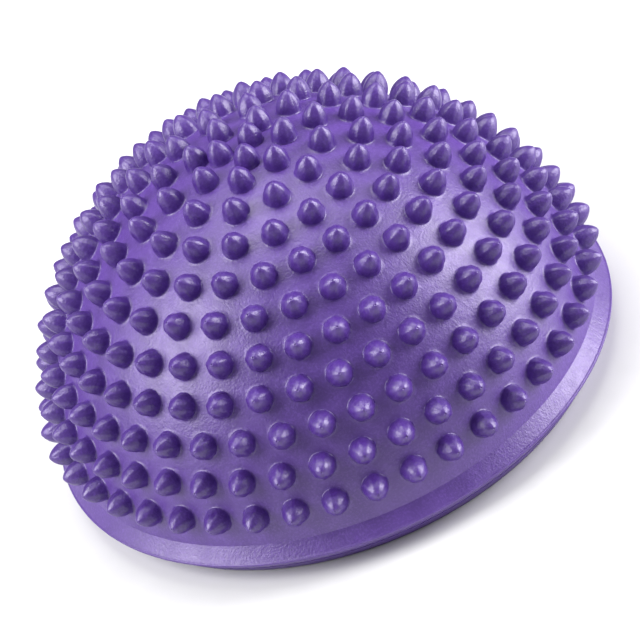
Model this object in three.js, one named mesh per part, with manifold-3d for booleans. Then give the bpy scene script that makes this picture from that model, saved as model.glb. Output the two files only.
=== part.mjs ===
// Balance dome trainer: a hollow PVC half dome covered in blunt massage spikes, closed below by a
// flat base disc that carries a push-in air valve. Millimetres, +Z up, the origin on the floor
// under the middle of the dome.
import * as THREE from 'three';
import { mergeVertices } from 'three/addons/utils/BufferGeometryUtils.js';
import Module from 'manifold-3d';

const wasm = await Module();
wasm.setup();

// Base disc.
const baseThickness = 2.6;
const bondLip = 1.4;            // the bonded edge stands this far above the disc
const baseEdgeInset = 3.4;      // the disc's chamfered edge comes in by this much at the floor
const grooveCount = 3;          // rings of tread, evenly spaced between the recess and the edge
const grooveWidth = 2;
const grooveDepth = 0.8;

// Rim of the shell: a side band up from the bond with the base, then a bevel up to the dome.
const bondWidth = 7.5;          // radial width of the bonded ring
const bondGap = 0.2;            // glue line
const bandHeight = 3.1;
const bandInset = 2.8;          // the side band leans in by this much at the bond
const bevelHeight = 4.2;
const bevelWidth = 3.48;

// Dome: an ellipse turned about Z, cut off at the crease above the bevel.
const domeRadius = 76.9;        // half width of the ellipse
const domeHeight = 79;          // half height of the ellipse
const creaseRise = 7.8;         // the crease stands this far above the ellipse's centre
const domeWall = 2.4;

// Valve: a soft collar through the middle of the base and a stopper that pushes into it.
const boreRadius = 3.2;
const collarWall = 2;
const collarLength = 13;        // above the recess ceiling
const flangeOverhang = 3.8;     // the collar's flange stands out from its tube by this much
const flangeThickness = 1.5;
const recessMargin = 3;         // between the flange and the recess wall
const bossWall = 3;
const fitGap = 0.15;            // between the collar and the base
const plugClearance = 0.2;      // between the stopper and the collar
const headOverhang = 3.3;       // the stopper's head stands out from the bore by this much
const headThickness = 1.6;
const headSink = 0.75;          // the head stays this far above the floor
const stemLength = 11;          // above the head
const stemNose = 0.8;           // chamfer on the stem's end

// Spikes, in rings of equal steps up the dome and two closer rings at the crown.
const spikeRadius = 3.55;
const spikeHeight = 6.2;
const shoulderRadius = 2.9;     // where the flank turns in to the point
const shoulderHeight = 3;
const spikeRoot = 1.2;          // how far a spike is rooted in the wall
const lowestRing = 78;          // ellipse angle of the lowest ring, from the top, in degrees
const ringStep = 7.67;
const crownRings = [9.4, 3.9];  // ellipse angles of the last two rings
const rings = [                 // spikes in each ring, and the azimuth of one of them in degrees
  { count: 43, azimuth: -150.8 },
  { count: 41, azimuth: -153.1 },
  { count: 39, azimuth: -152.8 },
  { count: 36, azimuth: -149.5 },
  { count: 33, azimuth: -151.0 },
  { count: 28, azimuth: -144.9 },
  { count: 24, azimuth: -145.1 },
  { count: 18, azimuth: -150.2 },
  { count: 12, azimuth: -139.0 },
  { count: 7, azimuth: -153.6 },
  { count: 3, azimuth: -79.0 },
];

// Mesh fineness.
const turnSteps = 40;
const domeSteps = 6;
const cavitySteps = 4;
const valveSteps = 24;
const spikeSides = 5;
const weldDistance = 1e-4;      // vertices nearer than this are one

// Heights that follow from those sizes.
const bondHeight = baseThickness + bondLip;
const shellFoot = bondHeight + bondGap;
const rimHeight = shellFoot + bandHeight;
const creaseHeight = rimHeight + bevelHeight;
const domeCentre = creaseHeight - creaseRise;
const recessDepth = headSink + headThickness + plugClearance + flangeThickness + fitGap;
const plugSeat = recessDepth - fitGap - flangeThickness;  // underside of the collar's flange

// Radii that follow from those sizes.
const creaseAngle = Math.acos(creaseRise / domeHeight);   // from the top of the ellipse
const rimRadius = domeRadius * Math.sin(creaseAngle) + bevelWidth;
const bondRadius = rimRadius - bandInset;
const bondInner = bondRadius - bondWidth;
const baseFootRadius = bondRadius - baseEdgeInset;
const collarRadius = boreRadius + collarWall;
const flangeRadius = collarRadius + flangeOverhang;
const recessRadius = flangeRadius + recessMargin;
const bossRadius = recessRadius + bossWall;

const degrees = Math.PI / 180;

// A point on the dome's ellipse, moved in by an offset; the angle runs from the top.
function domePoint(angle, inset = 0) {
  const radius = (domeRadius - inset) * Math.sin(angle);
  const height = domeCentre + (domeHeight - inset) * Math.cos(angle);
  return new THREE.Vector2(radius, height);
}

// A body turned about Z from a closed outline of [radius, height] points.
function turned(outline, steps) {
  const points = outline.map((point) => new THREE.Vector2(point.x ?? point[0], point.y ?? point[1]));
  return new THREE.LatheGeometry(points, steps).rotateX(Math.PI / 2);
}

// A closed geometry as a manifold-3d solid.
function solidFrom(geometry) {
  const bare = geometry.clone();
  bare.deleteAttribute('normal');
  bare.deleteAttribute('uv');
  const merged = mergeVertices(bare, weldDistance);
  const vertProperties = merged.attributes.position.array;
  const triVerts = new Uint32Array(merged.index.array);
  return new wasm.Manifold(new wasm.Mesh({ numProp: 3, vertProperties, triVerts }));
}

// A manifold-3d solid as a flat-shaded geometry.
function geometryFrom(solid) {
  const mesh = solid.getMesh();
  const geometry = new THREE.BufferGeometry();
  geometry.setAttribute('position', new THREE.BufferAttribute(mesh.vertProperties, mesh.numProp));
  geometry.setIndex(new THREE.BufferAttribute(mesh.triVerts, 1));
  geometry.computeVertexNormals();
  return geometry;
}

// The dome wall with its rim: an open bowl, mouth down, whose foot is the bonded ring.
function domeWallGeometry() {
  const cavityAngle = Math.acos(creaseRise / (domeHeight - domeWall));
  const outline = [];
  for (let i = 0; i <= cavitySteps; i += 1) {
    outline.push(domePoint(cavityAngle * (i / cavitySteps), domeWall));
  }
  outline.push([bondInner, rimHeight]);
  outline.push([bondInner, shellFoot]);
  outline.push([bondRadius, shellFoot]);
  outline.push([rimRadius, rimHeight]);
  for (let i = domeSteps; i >= 0; i -= 1) {
    outline.push(domePoint(creaseAngle * (i / domeSteps)));
  }
  return turned(outline, turnSteps);
}

// One spike, standing on Z = 0, with its root below: a near-upright flank, then a blunt point.
function spikeGeometry() {
  const outline = [
    [0, -spikeRoot],
    [spikeRadius, -spikeRoot],
    [shoulderRadius, shoulderHeight],
    [0, spikeHeight],
  ];
  return turned(outline, spikeSides);
}

// Where each spike stands, square to the dome.
function spikePlaces() {
  const places = [];
  rings.forEach((ring, index) => {
    const crownIndex = index - (rings.length - crownRings.length);
    const angle = (crownRings[crownIndex] ?? lowestRing - ringStep * index) * degrees;
    const foot = domePoint(angle);
    const outward = new THREE.Vector2(domeHeight * Math.sin(angle), domeRadius * Math.cos(angle));
    outward.normalize();
    for (let i = 0; i < ring.count; i += 1) {
      const azimuth = ring.azimuth * degrees + (2 * Math.PI * i) / ring.count;
      const around = new THREE.Vector3(Math.cos(azimuth), Math.sin(azimuth), 0);
      const position = around.clone().multiplyScalar(foot.x).setZ(foot.y);
      const direction = around.clone().multiplyScalar(outward.x).setZ(outward.y);
      places.push({ position, direction });
    }
  });
  return places;
}

// The dome wall with every spike joined to it.
function domeShellGeometry() {
  const up = new THREE.Vector3(0, 0, 1);
  const spike = spikeGeometry();
  const solids = [solidFrom(domeWallGeometry())];
  for (const { position, direction } of spikePlaces()) {
    const turn = new THREE.Quaternion().setFromUnitVectors(up, direction);
    const place = new THREE.Matrix4().compose(position, turn, new THREE.Vector3(1, 1, 1));
    solids.push(solidFrom(spike.clone().applyMatrix4(place)));
  }
  return geometryFrom(wasm.Manifold.union(solids));
}

// The base disc: grooved underside, chamfered edge, and a boss with the valve recess and hole.
function baseDiscGeometry() {
  const hole = collarRadius + fitGap;
  const bossTop = recessDepth + baseThickness;
  const grooveStep = (baseFootRadius - recessRadius) / (grooveCount + 1);
  const outline = [
    [hole, bossTop],
    [hole, recessDepth],
    [recessRadius, recessDepth],
    [recessRadius, 0],
  ];
  for (let i = 1; i <= grooveCount; i += 1) {
    const inner = recessRadius + grooveStep * i - grooveWidth / 2;
    const outer = inner + grooveWidth;
    outline.push([inner, 0]);
    outline.push([inner, grooveDepth]);
    outline.push([outer, grooveDepth]);
    outline.push([outer, 0]);
  }
  outline.push([baseFootRadius, 0]);
  outline.push([bondRadius, bondHeight]);
  outline.push([bondInner, bondHeight]);
  outline.push([bondInner, baseThickness]);
  outline.push([bossRadius, baseThickness]);
  outline.push([bossRadius, bossTop]);
  outline.push([hole, bossTop]);
  return turned(outline, turnSteps);
}

// The soft collar: a flange under the recess ceiling and a tube up into the air chamber.
function valveCollarGeometry() {
  const flangeTop = plugSeat + flangeThickness;
  const tubeTop = recessDepth + collarLength;
  const outline = [
    [boreRadius, plugSeat],
    [flangeRadius, plugSeat],
    [flangeRadius, flangeTop],
    [collarRadius, flangeTop],
    [collarRadius, tubeTop],
    [boreRadius, tubeTop],
    [boreRadius, plugSeat],
  ];
  return turned(outline, valveSteps);
}

// The stopper: a flat head below and a plain stem that fills the collar's bore.
function valvePlugGeometry() {
  const headRadius = boreRadius + headOverhang;
  const stemRadius = boreRadius - plugClearance;
  const headTop = headSink + headThickness;
  const stemTop = headTop + stemLength;
  const outline = [
    [0, headSink],
    [headRadius, headSink],
    [headRadius, headTop],
    [stemRadius, headTop],
    [stemRadius, stemTop - stemNose],
    [stemRadius - stemNose, stemTop],
    [0, stemTop],
  ];
  return turned(outline, valveSteps);
}

// A named sub-part with its own material.
function part(name, geometry, color, roughness) {
  const material = new THREE.MeshStandardMaterial({ color, roughness, metalness: 0 });
  const mesh = new THREE.Mesh(geometry, material);
  mesh.name = name;
  return mesh;
}

const balanceDome = new THREE.Group();
balanceDome.add(
  part('dome_shell', domeShellGeometry(), '#6a4fa8', 0.42),
  part('base_disc', baseDiscGeometry(), '#5c3f98', 0.5),
  part('valve_collar', valveCollarGeometry(), '#4d3486', 0.55),
  part('valve_plug', valvePlugGeometry(), '#e9e6ee', 0.5),
);

export default balanceDome;
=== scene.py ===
"""Looks of the balance dome trainer: a fine spiky PVC skin, a turned base and its air valve."""
import math
import random

import bpy
from mathutils import Matrix, Vector


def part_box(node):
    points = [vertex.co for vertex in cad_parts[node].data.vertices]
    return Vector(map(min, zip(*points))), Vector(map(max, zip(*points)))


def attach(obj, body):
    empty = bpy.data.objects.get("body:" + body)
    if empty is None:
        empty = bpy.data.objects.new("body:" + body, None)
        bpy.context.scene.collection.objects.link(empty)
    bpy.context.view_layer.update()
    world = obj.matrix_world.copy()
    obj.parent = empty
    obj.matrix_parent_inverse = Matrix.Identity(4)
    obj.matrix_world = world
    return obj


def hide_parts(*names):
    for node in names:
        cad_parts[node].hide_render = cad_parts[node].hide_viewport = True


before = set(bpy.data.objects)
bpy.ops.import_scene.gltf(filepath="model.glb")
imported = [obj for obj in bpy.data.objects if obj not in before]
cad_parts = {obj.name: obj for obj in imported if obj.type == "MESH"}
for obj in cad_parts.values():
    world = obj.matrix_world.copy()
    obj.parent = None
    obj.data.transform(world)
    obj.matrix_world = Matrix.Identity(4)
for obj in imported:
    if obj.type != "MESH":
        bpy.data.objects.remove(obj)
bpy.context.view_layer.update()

MM = 0.001
TAU = 2 * math.pi

# ---------------------------------------------------------------- sizes, in millimetres

# The frame gives the places that the pieces share.
BASE_HIGH = [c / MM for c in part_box("base_disc")[1]]
SHELL_LOW = [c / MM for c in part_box("dome_shell")[0]]
COLLAR_LOW, COLLAR_HIGH = [[c / MM for c in corner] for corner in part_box("valve_collar")]
PLUG_LOW, PLUG_HIGH = [[c / MM for c in corner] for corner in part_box("valve_plug")]

# Dome: half an ellipse turned about Z.
DOME_RADIUS = 76.9
DOME_HEIGHT = 79.0
DOME_CENTRE = 3.7
DOME_WALL = 2.4

# Rim: bevel, side band and the bonded ring that sits on the base.
CREASE_HEIGHT = 11.5
BEVEL_WIDTH = 3.48
RIM_HEIGHT = 7.3
RIM_RADIUS = DOME_RADIUS * math.sqrt(1 - ((CREASE_HEIGHT - DOME_CENTRE) / DOME_HEIGHT) ** 2) + BEVEL_WIDTH
BAND_RADIUS = BASE_HIGH[0]
BOND_HEIGHT = 4.0
BOND_FOOT = SHELL_LOW[2]
BOND_WIDTH = 7.5

# Spikes: ellipse angles from the top, counts, and the azimuth of one spike of each ring.
LOWEST_RING = 78.0
RING_STEP = 7.67
CROWN_RINGS = [9.4, 3.9]
RING_COUNTS = [43, 41, 39, 36, 33, 28, 24, 18, 12, 7, 3]
RING_AZIMUTHS = [-150.8, -153.1, -152.8, -149.5, -151.0, -144.9, -145.1, -150.2, -139.0, -153.6, -79.0]
SPIKE_RADIUS = 3.55
SPIKE_HEIGHT = 6.2
SPIKE_FILLET = 0.38
LEAN_SPREAD = 0.012           # how much spikes lean, by chance
HEIGHT_SPREAD = 0.012         # how much their heights differ, as a share
RIDGE_COUNTS = [7, 8, 9, 10]  # faint lengthwise ridges on a spike
RIDGE_DEPTH = 0.036           # as a share of the radius

# Base disc.
BASE_THICKNESS = 2.6
BASE_EDGE_INSET = 3.4
GROOVE_COUNT = 3
GROOVE_HALF = 1.0             # half of a groove's width
GROOVE_DEPTH = 0.8
GROOVE_SLOPE = 0.3            # a groove's sides come in by this much
RECESS_RADIUS = 12.0
RECESS_DEPTH = 4.2
BOSS_WALL = 3.0

# Valve.
BORE_RADIUS = 3.2
COLLAR_RADIUS = 5.2
FLANGE_THICKNESS = 1.5
FIT_GAP = 0.15                # between the collar and the base
PLUG_CLEARANCE = 0.2          # between the stopper and the collar
HEAD_THICKNESS = 1.6
STEM_NOSE = 0.8

# Fineness.
CAVITY_STEPS = 14
BASE_STEPS = 192
VALVE_STEPS = 96

# ---------------------------------------------------------------- materials

# Patterns of the soft PVC, in repeats per metre.
CLOUDS = 45.0
PATCHES = 260.0
ORANGE_PEEL = 700.0
SPECKS = 1500.0
FINE_GRAIN = 1700.0
VIOLET_GLOSS = (0.92, 0.87, 1.0, 1.0)


def add_node(tree, kind, **values):
    """A shader node with its properties and its unlinked inputs set by name."""
    node = tree.nodes.new(kind)
    for name, value in values.items():
        if name in node.inputs:
            node.inputs[name].default_value = value
        else:
            setattr(node, name, value)
    return node


def noise(tree, coordinates, scale, detail=3.0, roughness=0.6):
    """Noise over the object, at a scale given in repeats per metre."""
    node = add_node(tree, "ShaderNodeTexNoise", Scale=scale, Detail=detail, Roughness=roughness)
    tree.links.new(coordinates, node.inputs["Vector"])
    return node.outputs["Fac"]


def span(tree, value, low, high, source=(0.3, 0.7)):
    """A value's source range spread over low to high."""
    node = add_node(tree, "ShaderNodeMapRange")
    node.inputs["From Min"].default_value, node.inputs["From Max"].default_value = source
    node.inputs["To Min"].default_value, node.inputs["To Max"].default_value = low, high
    tree.links.new(value, node.inputs["Value"])
    return node.outputs["Result"]


def blend_colour(tree, factor, first, second):
    """Two colours, or colour sockets, mixed by a factor socket."""
    node = tree.nodes.new("ShaderNodeMix")
    node.data_type = "RGBA"
    tree.links.new(factor, node.inputs["Factor"])
    for name, colour in (("A", first), ("B", second)):
        socket = [s for s in node.inputs if s.name == name and s.type == "RGBA"][0]
        if isinstance(colour, bpy.types.NodeSocket):
            tree.links.new(colour, socket)
        else:
            socket.default_value = (*colour, 1.0)
    return [s for s in node.outputs if s.type == "RGBA"][0]


def bumps(tree, heights):
    """A normal from several (height socket, distance in metres, strength) layers."""
    normal = None
    for height, distance, strength in heights:
        node = add_node(tree, "ShaderNodeBump", Strength=strength, Distance=distance)
        tree.links.new(height, node.inputs["Height"])
        if normal is not None:
            tree.links.new(normal, node.inputs["Normal"])
        normal = node.outputs["Normal"]
    return normal


def new_material(name):
    """An empty material: its node tree, its shader and the object's own coordinates."""
    material = bpy.data.materials.new(name)
    material.use_nodes = True
    tree = material.node_tree
    shader = tree.nodes["Principled BSDF"]
    coordinates = tree.nodes.new("ShaderNodeTexCoord").outputs["Object"]
    return material, tree, shader, coordinates


def soft_pvc(name, deep, pale, roughness, gloss, grain=1.0):
    """Satin soft PVC: cloudy pearl colour, fine speckle, and a faint orange-peel surface."""
    material, tree, shader, coordinates = new_material(name)
    cloud = span(tree, noise(tree, coordinates, CLOUDS), 0.0, 1.0)
    speckle = span(tree, noise(tree, coordinates, SPECKS, 2.0), 0.0, 1.0, (0.35, 0.65))
    base = blend_colour(tree, cloud, deep, pale)
    lighter = tuple(min(1.0, c * 1.3 + 0.01) for c in pale)
    share = span(tree, speckle, 0.0, 0.6, (0.45, 1.0))
    colour = blend_colour(tree, share, base, lighter)
    tree.links.new(colour, shader.inputs["Base Color"])
    patchy = span(tree, noise(tree, coordinates, PATCHES, 4.0), roughness - 0.05, roughness + 0.06)
    tree.links.new(patchy, shader.inputs["Roughness"])
    peel = noise(tree, coordinates, ORANGE_PEEL, 2.0)
    fine = noise(tree, coordinates, FINE_GRAIN, 2.0)
    layers = [(peel, 0.00014, 0.4 * grain), (fine, 0.0001, 0.65 * grain)]
    tree.links.new(bumps(tree, layers), shader.inputs["Normal"])
    shader.inputs["Specular IOR Level"].default_value = gloss
    shader.inputs["Specular Tint"].default_value = VIOLET_GLOSS
    return material


def moulded_plastic(name, deep, pale, roughness):
    """Milky hard plastic with a fine moulded surface."""
    material, tree, shader, coordinates = new_material(name)
    cloud = span(tree, noise(tree, coordinates, 220.0), 0.0, 1.0)
    tree.links.new(blend_colour(tree, cloud, deep, pale), shader.inputs["Base Color"])
    patchy = span(tree, noise(tree, coordinates, 900.0), roughness - 0.06, roughness + 0.08)
    tree.links.new(patchy, shader.inputs["Roughness"])
    fine = noise(tree, coordinates, 1800.0, 2.0)
    tree.links.new(bumps(tree, [(fine, 0.00004, 0.5)]), shader.inputs["Normal"])
    shader.inputs["Subsurface Weight"].default_value = 0.25
    shader.inputs["Subsurface Radius"].default_value = (0.002, 0.002, 0.002)
    return material


# ---------------------------------------------------------------- meshes


def make_piece(name, vertices, faces, materials, face_material=None, sharp=math.radians(40)):
    """A mesh object from points in millimetres, smooth except at its sharp edges."""
    mesh = bpy.data.meshes.new(name)
    mesh.from_pydata([[c * MM for c in v] for v in vertices], [], faces)
    for material in materials:
        mesh.materials.append(material)
    if face_material:
        mesh.polygons.foreach_set("material_index", face_material)
    mesh.polygons.foreach_set("use_smooth", [True] * len(mesh.polygons))
    mesh.set_sharp_from_angle(angle=sharp)
    mesh.validate()
    piece = bpy.data.objects.new(name, mesh)
    bpy.context.scene.collection.objects.link(piece)
    return piece


def rounded(corners, steps=4, closed=True):
    """An outline of (radius, height, rounding) corners with each corner turned by a curve."""
    points = []
    count = len(corners)
    for index, (x, z, rounding) in enumerate(corners):
        here = Vector((x, z))
        ends = not closed and index in (0, count - 1)
        if rounding == 0 or ends:
            points.append((x, z))
            continue
        before = Vector(corners[index - 1][:2]) - here
        after = Vector(corners[(index + 1) % count][:2]) - here
        half = before.angle(after) / 2
        reach = min(rounding / math.tan(half), 0.49 * before.length, 0.49 * after.length)
        start = here + before.normalized() * reach
        end = here + after.normalized() * reach
        for step in range(steps + 1):
            t = step / steps
            point = start.lerp(here, t).lerp(here.lerp(end, t), t)
            points.append((point.x, point.y))
    return points


def turned(outline, steps, closed=True):
    """Points and faces of an outline of (radius, height) turned about Z; points on the axis are shared."""
    vertices, rings, faces = [], [], []
    for radius, height in outline:
        if radius < 1e-6:
            rings.append([len(vertices)] * steps)
            vertices.append((0.0, 0.0, height))
            continue
        rings.append(list(range(len(vertices), len(vertices) + steps)))
        for step in range(steps):
            angle = TAU * step / steps
            vertices.append((radius * math.cos(angle), radius * math.sin(angle), height))
    pairs = list(zip(rings, rings[1:]))
    if closed:
        pairs.append((rings[-1], rings[0]))
    for low, high in pairs:
        if low[0] == low[-1] and high[0] == high[-1]:
            continue
        for step in range(steps):
            after = (step + 1) % steps
            face = [low[step], low[after], high[after], high[step]]
            faces.append(list(dict.fromkeys(face)))
    return vertices, faces


# ---------------------------------------------------------------- the dome's skin


def dome_point(angle, azimuth, inset=0.0):
    """A point on the dome from its ellipse angle and its azimuth, in radians."""
    radius = (DOME_RADIUS - inset) * math.sin(angle)
    height = DOME_CENTRE + (DOME_HEIGHT - inset) * math.cos(angle)
    return Vector((radius * math.cos(azimuth), radius * math.sin(azimuth), height))


def dome_normal(angle, azimuth):
    """The dome's outward direction there."""
    out = Vector((DOME_HEIGHT * math.sin(angle), DOME_RADIUS * math.cos(angle))).normalized()
    return Vector((out.x * math.cos(azimuth), out.x * math.sin(azimuth), out.y))


def onto_dome(point):
    """A point near the dome, moved onto it."""
    radius = math.hypot(point.x, point.y)
    angle = math.atan2(radius / DOME_RADIUS, (point.z - DOME_CENTRE) / DOME_HEIGHT)
    return dome_point(angle, math.atan2(point.y, point.x))


SIDE_STEPS = 8            # segments along each side of a spike's cell
CELL_LOOPS = 2            # loops between a cell's border and the spike's foot
SEAM = math.radians(0.08)  # half the width of the strip between two rings of cells

TIP_PIT = 0.965           # height share of the small pit in a spike's tip

# A spike from its foot to its tip: (radius as a share of the foot's, height as a share).
SPIKE_PROFILE = [
    (1.03, 0.02), (1.0, 0.05), (0.985, 0.11), (0.972, 0.2), (0.945, 0.3), (0.905, 0.4),
    (0.845, 0.5), (0.765, 0.6), (0.665, 0.7), (0.545, 0.79), (0.42, 0.87), (0.3, 0.925),
    (0.2, 0.962), (0.135, 0.985), (0.09, 0.993), (0.055, 0.98),
]


def ring_angles():
    """The ellipse angle of each ring of spikes, from the rim up."""
    regular = len(RING_COUNTS) - len(CROWN_RINGS)
    angles = [LOWEST_RING - RING_STEP * i for i in range(regular)]
    return [math.radians(a) for a in angles + CROWN_RINGS]


class Skin:
    """The dome's outer skin, grown one ring of cells at a time and kept watertight."""

    def __init__(self):
        self.vertices = []
        self.faces = []
        self.kinds = []
        self.random = random.Random(7)

    def add(self, point):
        self.vertices.append(tuple(point))
        return len(self.vertices) - 1

    def face(self, corners, kind=0):
        corners = list(dict.fromkeys(corners))
        if len(corners) > 2:
            self.faces.append(corners)
            self.kinds.append(kind)

    def bridge(self, outer, inner, kind=0):
        """Quads between two loops of the same length."""
        count = len(outer)
        for i in range(count):
            j = (i + 1) % count
            self.face([outer[i], outer[j], inner[j], inner[i]], kind)

    def zip_rings(self, low, high):
        """Triangles between two whole rings of (azimuth, vertex), each sorted by azimuth."""
        i = j = 0
        while i < len(low) or j < len(high):
            low_next = low[i + 1][0] if i + 1 < len(low) else low[0][0] + TAU
            high_next = high[j + 1][0] if j + 1 < len(high) else high[0][0] + TAU
            a, b = low[i % len(low)][1], high[j % len(high)][1]
            if j >= len(high) or (i < len(low) and low_next <= high_next):
                self.face([a, low[(i + 1) % len(low)][1], b])
                i += 1
            else:
                self.face([a, high[(j + 1) % len(high)][1], b])
                j += 1

    def spike(self, angle, azimuth, border):
        """One spike inside its cell, whose border loop is given."""
        foot = dome_point(angle, azimuth)
        normal = dome_normal(angle, azimuth)
        lean = Vector([self.random.gauss(0, LEAN_SPREAD) for _ in range(3)])
        axis = (normal + lean).normalized()
        east = Vector((-math.sin(azimuth), math.cos(azimuth), 0.0))
        north = normal.cross(east)
        count = len(border)
        turns = []
        for vertex in border:
            way = Vector(self.vertices[vertex]) - foot
            turns.append(math.atan2(way.dot(north), way.dot(east)))
        # Even turns, kept near the border's own, so that the cell's quads stay square.
        start = turns[0]
        sense = 1 if (turns[1] - turns[0] + math.pi) % TAU - math.pi > 0 else -1
        even = [start + sense * TAU * i / count for i in range(count)]
        drift = sum(((t - e + math.pi) % TAU) - math.pi for t, e in zip(turns, even)) / count
        even = [e + drift for e in even]
        nearest = min((Vector(self.vertices[v]) - foot).length for v in border)
        fillet = min(SPIKE_FILLET, 0.8 * (nearest - SPIKE_RADIUS))
        # The border of the fillet runs round the spike's foot.
        rim = []
        for turn in even:
            way = east * math.cos(turn) + north * math.sin(turn)
            rim.append(self.add(onto_dome(foot + way * (SPIKE_RADIUS + fillet))))
        loops = [border]
        for step in range(1, CELL_LOOPS + 1):
            share = step / (CELL_LOOPS + 1)
            loop = []
            for outside, inside in zip(border, rim):
                middle = Vector(self.vertices[outside]).lerp(Vector(self.vertices[inside]), share)
                loop.append(self.add(onto_dome(middle)))
            loops.append(loop)
        loops.append(rim)
        for outer, inner in zip(loops, loops[1:]):
            self.bridge(outer, inner)
        height = SPIKE_HEIGHT * self.random.gauss(1.0, HEIGHT_SPREAD)
        ridges = self.random.choice(RIDGE_COUNTS)
        ridge_turn = self.random.uniform(0, TAU)
        last = rim
        # The spike's faces are of kind 1. They take the spikes' material, whose darker colour is painted
        # shade.
        for share, rise in SPIKE_PROFILE:
            loop = []
            for turn in even:
                way = east * math.cos(turn) + north * math.sin(turn)
                flute = 1 + RIDGE_DEPTH * math.cos(ridges * turn + ridge_turn) * math.sin(math.pi * rise)
                radius = SPIKE_RADIUS * share * flute
                sag = radius * radius / (2 * DOME_RADIUS) * (1 - rise)
                loop.append(self.add(foot + way * radius + axis * (height * rise - sag)))
            self.bridge(last, loop, 1)
            last = loop
        tip = self.add(foot + axis * height * TIP_PIT)
        for i in range(count):
            self.face([last[i], last[(i + 1) % count], tip], 1)

    def ring(self, angle, low, high, count, azimuth):
        """One ring of cells between two ellipse angles; returns its low and high borders."""
        width = TAU / count
        first = azimuth - width / 2
        crown = high <= 0
        low_steps = SIDE_STEPS * (2 if crown else 1)
        top = self.add(dome_point(0.0, 0.0)) if crown else None
        lows, highs, sides = [], [], []
        for i in range(count):
            lows.append([(first + width * (i + s / low_steps)) for s in range(low_steps)])
            highs.append([(first + width * (i + s / SIDE_STEPS)) for s in range(SIDE_STEPS)])
        low_row = [(a, self.add(dome_point(low, a))) for cell in lows for a in cell]
        high_row = [] if crown else [(a, self.add(dome_point(high, a))) for cell in highs for a in cell]
        for i in range(count):
            side = []
            for s in range(1, SIDE_STEPS):
                t = low + (high - low) * s / SIDE_STEPS
                side.append(self.add(dome_point(t, first + width * i)))
            sides.append(side)
        for i in range(count):
            j = (i + 1) % count
            bottom = [low_row[i * low_steps + s][1] for s in range(low_steps)]
            right = [low_row[j * low_steps][1]] + sides[j]
            if crown:
                loop = bottom + right + [top] + sides[i][::-1]
            else:
                upper = [high_row[j * SIDE_STEPS][1]]
                upper += [high_row[i * SIDE_STEPS + s][1] for s in range(SIDE_STEPS - 1, 0, -1)]
                loop = bottom + right + upper + [high_row[i * SIDE_STEPS][1]] + sides[i][::-1]
            self.spike(angle, first + width * (i + 0.5), loop)
        return low_row, high_row


def by_azimuth(row):
    """A ring of (azimuth, vertex) with its azimuths in one turn, sorted."""
    return sorted((azimuth % TAU, vertex) for azimuth, vertex in row)


def rim_rows():
    """The rim and the cavity from the dome's foot round to the top of the inside, as (radius, height)."""
    crease = math.acos((CREASE_HEIGHT - DOME_CENTRE) / DOME_HEIGHT)
    foot = dome_point(crease, 0.0)
    ring_inner = BAND_RADIUS - BOND_WIDTH
    cavity_foot = math.acos((CREASE_HEIGHT - DOME_CENTRE) / (DOME_HEIGHT - DOME_WALL))
    inside = dome_point(cavity_foot, 0.0, DOME_WALL)
    corners = [
        (foot.x + 0.02, CREASE_HEIGHT + 0.9, 0.0),
        (foot.x, CREASE_HEIGHT, 0.05),
        (RIM_RADIUS - 0.5, RIM_HEIGHT + 0.6, 0.3),
        (RIM_RADIUS, RIM_HEIGHT + 0.35, 0.2),
        (RIM_RADIUS - 0.1, RIM_HEIGHT - 0.3, 0.2),
        (BAND_RADIUS, BOND_FOOT, 0.2),
        (ring_inner, BOND_FOOT, 0.3),
        (ring_inner, RIM_HEIGHT, 0.5),
        (inside.x, CREASE_HEIGHT, 0.0),
    ]
    rows = rounded(corners, closed=False)[1:]
    for step in range(1, CAVITY_STEPS):
        point = dome_point(cavity_foot * (1 - step / CAVITY_STEPS), 0.0, DOME_WALL)
        rows.append((point.x, point.z))
    return rows


def dome_skin(materials):
    """The whole shell: spikes, dome, rim and the cavity's wall, as one closed mesh."""
    skin = Skin()
    angles = ring_angles()
    crease = math.acos((CREASE_HEIGHT - DOME_CENTRE) / DOME_HEIGHT)
    borders = [min(2 * angles[0] - (angles[0] + angles[1]) / 2, crease - math.radians(1.2))]
    borders += [(a + b) / 2 for a, b in zip(angles, angles[1:])]
    last_high = None
    first_low = None
    for index, (angle, count) in enumerate(zip(angles, RING_COUNTS)):
        low = borders[index] - SEAM
        high = borders[index + 1] + SEAM if index + 1 < len(borders) else 0.0
        low_row, high_row = skin.ring(angle, low, high, count, math.radians(RING_AZIMUTHS[index]))
        if last_high:
            skin.zip_rings(by_azimuth(last_high), by_azimuth(low_row))
        else:
            first_low = low_row
        last_high = high_row
    row = [vertex for _, vertex in first_low]
    azimuths = [azimuth for azimuth, _ in first_low]
    for radius, height in rim_rows():
        ring = [skin.add((radius * math.cos(a), radius * math.sin(a), height)) for a in azimuths]
        skin.bridge(ring, row)
        row = ring
    top = skin.add(dome_point(0.0, 0.0, DOME_WALL))
    for i in range(len(row)):
        skin.face([top, row[(i + 1) % len(row)], row[i]])
    return make_piece("dome_skin", skin.vertices, skin.faces, materials, skin.kinds, math.radians(48))


# ---------------------------------------------------------------- base and valve


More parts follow.
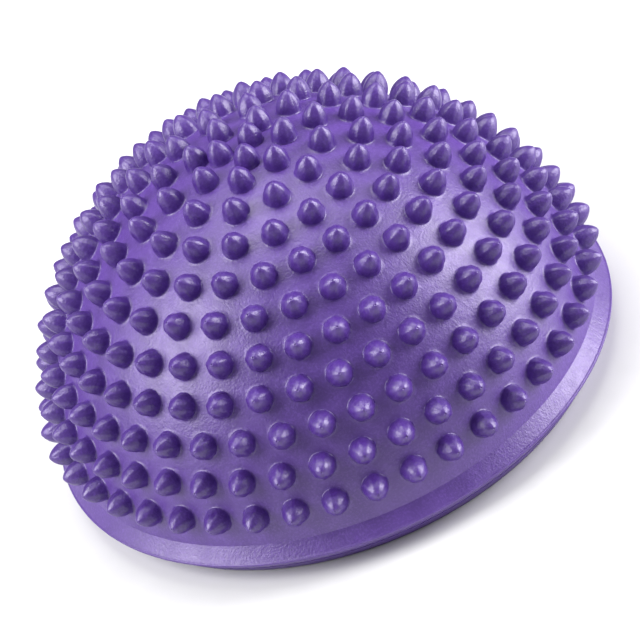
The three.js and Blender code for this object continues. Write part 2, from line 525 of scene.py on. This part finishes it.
def base_piece(material):
    """The base disc: soft chamfered edge, rounded grooves, and the boss with the valve's recess."""
    hole = COLLAR_RADIUS + FIT_GAP
    boss_radius = RECESS_RADIUS + BOSS_WALL
    edge_foot = BAND_RADIUS - BASE_EDGE_INSET
    groove_step = (edge_foot - RECESS_RADIUS) / (GROOVE_COUNT + 1)
    groove_floor = GROOVE_HALF - GROOVE_SLOPE
    corners = [
        (hole, BASE_HIGH[2], 0.3), (hole, RECESS_DEPTH, 0.3),
        (RECESS_RADIUS, RECESS_DEPTH, 0.5), (RECESS_RADIUS, 0.0, 0.6),
    ]
    for index in range(GROOVE_COUNT):
        radius = RECESS_RADIUS + groove_step * (index + 1)
        corners += [
            (radius - GROOVE_HALF, 0.0, 0.3), (radius - groove_floor, GROOVE_DEPTH, 0.3),
            (radius + groove_floor, GROOVE_DEPTH, 0.3), (radius + GROOVE_HALF, 0.0, 0.3),
        ]
    corners += [
        (edge_foot, 0.0, 0.9), (BAND_RADIUS, BOND_HEIGHT, 0.25),
        (BAND_RADIUS - BOND_WIDTH, BOND_HEIGHT, 0.3), (BAND_RADIUS - BOND_WIDTH, BASE_THICKNESS, 0.4),
        (boss_radius, BASE_THICKNESS, 0.6), (boss_radius, BASE_HIGH[2], 0.6),
    ]
    vertices, faces = turned(rounded(corners), BASE_STEPS)
    return make_piece("base_plate", vertices, faces, [material])


def collar_piece(material):
    """The soft valve seat: a flange under the recess ceiling and a plain tube above it."""
    flange_radius = COLLAR_HIGH[0]
    flange_top = COLLAR_LOW[2] + FLANGE_THICKNESS
    corners = [
        (BORE_RADIUS, COLLAR_LOW[2], 0.4), (flange_radius, COLLAR_LOW[2], 0.5),
        (flange_radius, flange_top, 0.3), (COLLAR_RADIUS, flange_top, 0.1),
        (COLLAR_RADIUS, COLLAR_HIGH[2], 0.6), (BORE_RADIUS, COLLAR_HIGH[2], 0.4),
    ]
    vertices, faces = turned(rounded(corners), VALVE_STEPS)
    return make_piece("valve_seat", vertices, faces, [material])


def plug_piece(material):
    """The stopper: a domed head with a rounded lip, and a stem with a rounded nose."""
    stem = BORE_RADIUS - PLUG_CLEARANCE
    head_radius = PLUG_HIGH[0]
    head_top = PLUG_LOW[2] + HEAD_THICKNESS
    corners = [
        (0.0, PLUG_LOW[2], 0.0), (head_radius * 0.45, PLUG_LOW[2] + 0.05, 0.4),
        (head_radius, PLUG_LOW[2] + 0.3, 0.5), (head_radius, head_top, 0.35),
        (stem, head_top, 0.2), (stem, PLUG_HIGH[2] - 0.9, 0.4),
        (stem - STEM_NOSE, PLUG_HIGH[2], 0.3), (0.0, PLUG_HIGH[2], 0.0),
    ]
    vertices, faces = turned(rounded(corners, closed=False), VALVE_STEPS, closed=False)
    return make_piece("valve_stopper", vertices, faces, [material])


# ---------------------------------------------------------------- camera, light and floor


def look_from(name, elevation, distance, aim, roll, focal_share):
    """A camera due south of the object, at an elevation, aimed at a point and rolled."""
    lens = bpy.data.cameras.new(name)
    lens.sensor_width = 36.0
    lens.lens = 36.0 * focal_share
    lens.clip_start = 0.01
    camera = bpy.data.objects.new(name, lens)
    bpy.context.scene.collection.objects.link(camera)
    up = math.radians(elevation)
    back = Vector((0.0, -math.cos(up), math.sin(up)))
    camera.location = Vector(aim) + back * distance
    turn = back.to_track_quat("Z", "Y").to_matrix()
    camera.rotation_euler = (turn @ Matrix.Rotation(math.radians(roll), 3, "Z")).to_euler()
    bpy.context.scene.camera = camera
    return camera


def soft_box(name, place, aim, size, power):
    """A rectangular soft light of (width, height) that faces a point."""
    light = bpy.data.lights.new(name, "AREA")
    light.shape = "RECTANGLE"
    light.size, light.size_y = size
    light.energy = power
    lamp = bpy.data.objects.new(name, light)
    lamp.location = place
    lamp.rotation_euler = (Vector(place) - Vector(aim)).to_track_quat("Z", "Y").to_euler()
    bpy.context.scene.collection.objects.link(lamp)
    return lamp


def pale_floor():
    """A wide pale floor with a faint grain."""
    material, tree, shader, coordinates = new_material("floor_paper")
    tone = span(tree, noise(tree, coordinates, 30.0), 0.0, 1.0)
    colour = blend_colour(tree, tone, (0.68, 0.68, 0.68), (0.71, 0.71, 0.71))
    tree.links.new(colour, shader.inputs["Base Color"])
    shader.inputs["Roughness"].default_value = 0.9
    half = 12.0
    corners = [(-half, -half, 0), (half, -half, 0), (half, half, 0), (-half, half, 0)]
    mesh = bpy.data.meshes.new("floor")
    mesh.from_pydata(corners, [], [(0, 1, 2, 3)])
    mesh.materials.append(material)
    floor = bpy.data.objects.new("floor", mesh)
    floor.location.z = -0.0002
    bpy.context.scene.collection.objects.link(floor)


def studio():
    """A dim white room with large soft boxes at the left, at the right and above."""
    world = bpy.data.worlds.new("studio")
    bpy.context.scene.world = world
    world.use_nodes = True
    background = world.node_tree.nodes["Background"]
    background.inputs["Color"].default_value = (1.0, 1.0, 1.0, 1.0)
    background.inputs["Strength"].default_value = 0.31
    aim = (0.0, 0.0, 0.04)
    soft_box("left_box", (-0.92, -0.1, 0.76), aim, (0.62, 1.0), 19.0)
    soft_box("right_box", (1.08, -0.06, 0.38), aim, (0.66, 1.0), 25.0)
    soft_box("top_box", (0.05, 0.3, 1.15), aim, (0.9, 0.6), 10.0)
    bpy.context.scene.view_settings.view_transform = "Standard"


# ---------------------------------------------------------------- assembly

look_from(
    "photo_camera", elevation=35.08, distance=1.335, aim=(0.0015, 0.0, 0.0227),
    roll=-23.88, focal_share=7.643,
)
studio()
pale_floor()

dome_pvc = soft_pvc("dome_pvc", (0.064, 0.023, 0.194), (0.081, 0.031, 0.23), 0.43, 0.9, grain=1.5)
# The spikes use the dome's PVC with a darker colour. That darkening is painted shade for the shade on
# their flanks. Their roughness, gloss and grain are set apart too.
spike_pvc_painted_shade = soft_pvc("spike_pvc_painted_shade", (0.046, 0.014, 0.158), (0.062, 0.021, 0.195), 0.36, 0.8, grain=1.6)
base_pvc = soft_pvc("base_pvc", (0.056, 0.021, 0.172), (0.071, 0.028, 0.205), 0.46, 0.6)
valve_pvc = soft_pvc("valve_pvc", (0.045, 0.022, 0.14), (0.06, 0.031, 0.18), 0.5, 0.45)
plug_plastic = moulded_plastic("plug_plastic", (0.72, 0.70, 0.76), (0.82, 0.80, 0.86), 0.4)

pieces = [
    (dome_skin([dome_pvc, spike_pvc_painted_shade]), "dome_shell", "root", "dome_pvc"),
    (base_piece(base_pvc), "base_disc", "root", "base_pvc"),
    (collar_piece(valve_pvc), "valve_collar", "root", "valve_pvc"),
    (plug_piece(plug_plastic), "valve_plug", "plug", "plug_plastic"),
]
for piece, node, body, slot in pieces:
    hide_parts(node)
    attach(piece, body)
